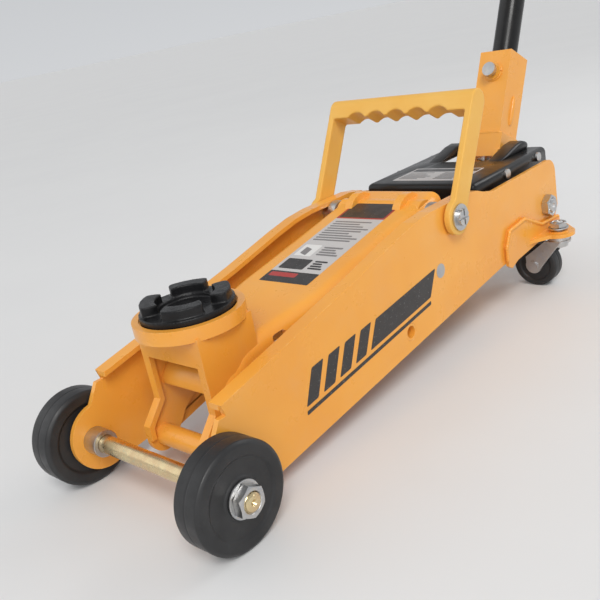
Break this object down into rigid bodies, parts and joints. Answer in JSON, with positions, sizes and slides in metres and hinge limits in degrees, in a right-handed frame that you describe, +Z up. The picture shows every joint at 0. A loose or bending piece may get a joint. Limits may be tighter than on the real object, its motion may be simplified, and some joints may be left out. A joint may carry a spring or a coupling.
{
  "type": "hydraulic floor jack",
  "caption": "Low rolling floor jack with a wedge-shaped steel frame, channel lift arm, levelled round saddle, carry handle, swivel castors and a removable pump handle.",
  "frame": {"origin": "on the floor, at the middle of the whole jack with its handle fitted", "axes": "+X towards the saddle end, +Y to the jack's left, +Z up"},
  "size_m": [0.8358, 0.206, 0.7036],
  "materials": {
    "black_paint": "gloss",
    "dark_steel": "matte",
    "grip_rubber": "matte",
    "ram_chrome": "polished",
    "unit_grey": "satin",
    "wheel_black": "satin",
    "yellow_paint": "gloss",
    "yellow_plastic": "satin",
    "yellow_zinc": "satin",
    "zinc": "satin"
  },
  "bodies": {
    "chassis": {"side_plate_left": "yellow_paint", "side_plate_right": "yellow_paint", "unit_cradle": "yellow_paint", "tie_tube": "yellow_paint", "front_axle": "yellow_zinc", "axle_collars": "zinc", "axle_washers": "zinc", "axle_nuts": "zinc", "castor_bracket_left": "yellow_paint", "castor_bracket_right": "yellow_paint", "castor_bolts": "zinc", "arm_pivot_shaft": "zinc", "arm_spacers": "zinc", "rod_rear_pins": "zinc", "unit_base": "unit_grey", "unit_bolts": "zinc", "reservoir": "unit_grey", "ram_cylinder": "zinc", "tank_nut": "unit_grey", "filler_plug": "grip_rubber", "return_spring_left": "zinc", "return_spring_right": "zinc", "spring_studs": "zinc", "pump_gland": "zinc", "pump_spring": "zinc", "pivot_bolts": "zinc", "pivot_nuts": "zinc", "pivot_spacers": "zinc", "unit_cover": "black_paint", "cover_screws": "zinc", "carry_screws": "zinc"},
    "front_wheel_left": {"front_wheel_left": "wheel_black"},
    "front_wheel_right": {"front_wheel_right": "wheel_black"},
    "castor_left": {"castor_fork_left": "zinc", "castor_axle_left": "zinc"},
    "castor_right": {"castor_fork_right": "zinc", "castor_axle_right": "zinc"},
    "castor_wheel_left": {"castor_wheel_left": "wheel_black"},
    "castor_wheel_right": {"castor_wheel_right": "wheel_black"},
    "lift_arm": {"lift_arm": "yellow_paint", "arm_hub": "yellow_paint", "horn_pin": "zinc"},
    "saddle_bracket": {"saddle_bracket": "yellow_paint", "head_pin": "yellow_paint", "rod_front_pin": "yellow_paint"},
    "saddle": {"saddle": "dark_steel"},
    "radius_rods": {"radius_rod_left": "yellow_paint", "radius_rod_right": "yellow_paint"},
    "ram": {"ram": "ram_chrome", "ram_yoke": "zinc"},
    "pump_piston": {"pump_piston": "ram_chrome"},
    "release_valve": {"release_valve": "zinc"},
    "handle_socket": {"handle_socket": "yellow_paint", "pump_roller": "zinc"},
    "handle_coupler": {"handle_coupler": "zinc"},
    "clamp_screw": {"clamp_screw": "zinc"},
    "handle": {"lower_tube": "black_paint", "upper_tube": "black_paint", "hand_grip": "grip_rubber"},
    "carry_handle": {"carry_handle": "yellow_plastic"}
  },
  "joints": [
    {"name": "front_wheel_left_roll", "type": "hinge", "parent": "chassis", "child": "front_wheel_left", "pos_m": [0.38188, 0.0825, 0.036], "axis": [0, 1, 0], "continuous": true},
    {"name": "front_wheel_right_roll", "type": "hinge", "parent": "chassis", "child": "front_wheel_right", "pos_m": [0.38188, -0.0825, 0.036], "axis": [0, 1, 0], "continuous": true},
    {"name": "castor_left_swivel", "type": "hinge", "parent": "chassis", "child": "castor_left", "pos_m": [-0.06412, 0.086, 0.054], "axis": [0, 0, 1], "continuous": true},
    {"name": "castor_right_swivel", "type": "hinge", "parent": "chassis", "child": "castor_right", "pos_m": [-0.06412, -0.086, 0.054], "axis": [0, 0, 1], "continuous": true},
    {"name": "castor_left_roll", "type": "hinge", "parent": "castor_left", "child": "castor_wheel_left", "pos_m": [-0.06412, 0.062, 0.022], "axis": [1, 0, 0], "continuous": true},
    {"name": "castor_right_roll", "type": "hinge", "parent": "castor_right", "child": "castor_wheel_right", "pos_m": [-0.06412, -0.062, 0.022], "axis": [1, 0, 0], "continuous": true},
    {"name": "arm_lift", "type": "hinge", "parent": "chassis", "child": "lift_arm", "pos_m": [0.08988, 0, 0.118], "axis": [0, -1, 0], "range_deg": [0, 69.53]},
    {"name": "saddle_level", "type": "hinge", "parent": "lift_arm", "child": "saddle_bracket", "pos_m": [0.31988, 0, 0.068], "axis": [0, -1, 0], "range_deg": [-70.03, 0.5]},
    {"name": "rod_swing", "type": "hinge", "parent": "chassis", "child": "radius_rods", "pos_m": [0.11588, 0, 0.08], "axis": [0, -1, 0], "range_deg": [-0.5, 70.03]},
    {"name": "saddle_turn", "type": "hinge", "parent": "saddle_bracket", "child": "saddle", "pos_m": [0.31988, 0, 0.12], "axis": [0, 0, 1], "continuous": true},
    {"name": "ram_stroke", "type": "slide", "parent": "chassis", "child": "ram", "axis": [1, 0, 0], "range_m": [-0.0005, 0.05528], "deforming": ["return_spring_left", "return_spring_right"]},
    {"name": "handle_pump", "type": "hinge", "parent": "chassis", "child": "handle_socket", "pos_m": [-0.07512, 0, 0.078], "axis": [0, -1, 0], "range_deg": [0, 45], "stiffness_Nm_per_rad": 4, "springref_deg": -57.3},
    {"name": "piston_stroke", "type": "slide", "parent": "chassis", "child": "pump_piston", "axis": [1, 0, 0], "range_m": [-0.0003, 0.01561], "deforming": ["pump_spring"]},
    {"name": "valve_twist", "type": "hinge", "parent": "handle_socket", "child": "handle_coupler", "pos_m": [-0.07512, 0, 0.078], "axis": [-0.4695, 0, 0.8829], "range_deg": [0, 90]},
    {"name": "release_turn", "type": "hinge", "parent": "chassis", "child": "release_valve", "pos_m": [-0.07512, 0, 0.078], "axis": [-1, 0, 0], "range_deg": [-0.5, 90.5]},
    {"name": "handle_removal", "type": "slide", "parent": "handle_coupler", "child": "handle", "axis": [-0.4695, 0, 0.8829], "range_m": [0, 0.13]},
    {"name": "clamp_turn", "type": "hinge", "parent": "handle_socket", "child": "clamp_screw", "pos_m": [-0.13803, 0, 0.19631], "axis": [0.8829, 0, 0.4695], "range_deg": [0, 360]},
    {"name": "carry_fold", "type": "hinge", "parent": "chassis", "child": "carry_handle", "pos_m": [0.08988, 0, 0.118], "axis": [0, -1, 0], "range_deg": [-102, 42]}
  ],
  "couplings": [
    {"joint": "saddle_level", "follows": "arm_lift", "ratio": -1},
    {"joint": "rod_swing", "follows": "arm_lift", "ratio": 1},
    {"joint": "ram_stroke", "follows": "arm_lift", "m_per_rad": 0.045135},
    {"joint": "piston_stroke", "follows": "handle_pump", "m_per_rad": 0.01949},
    {"joint": "release_turn", "follows": "valve_twist", "ratio": 1}
  ]
}
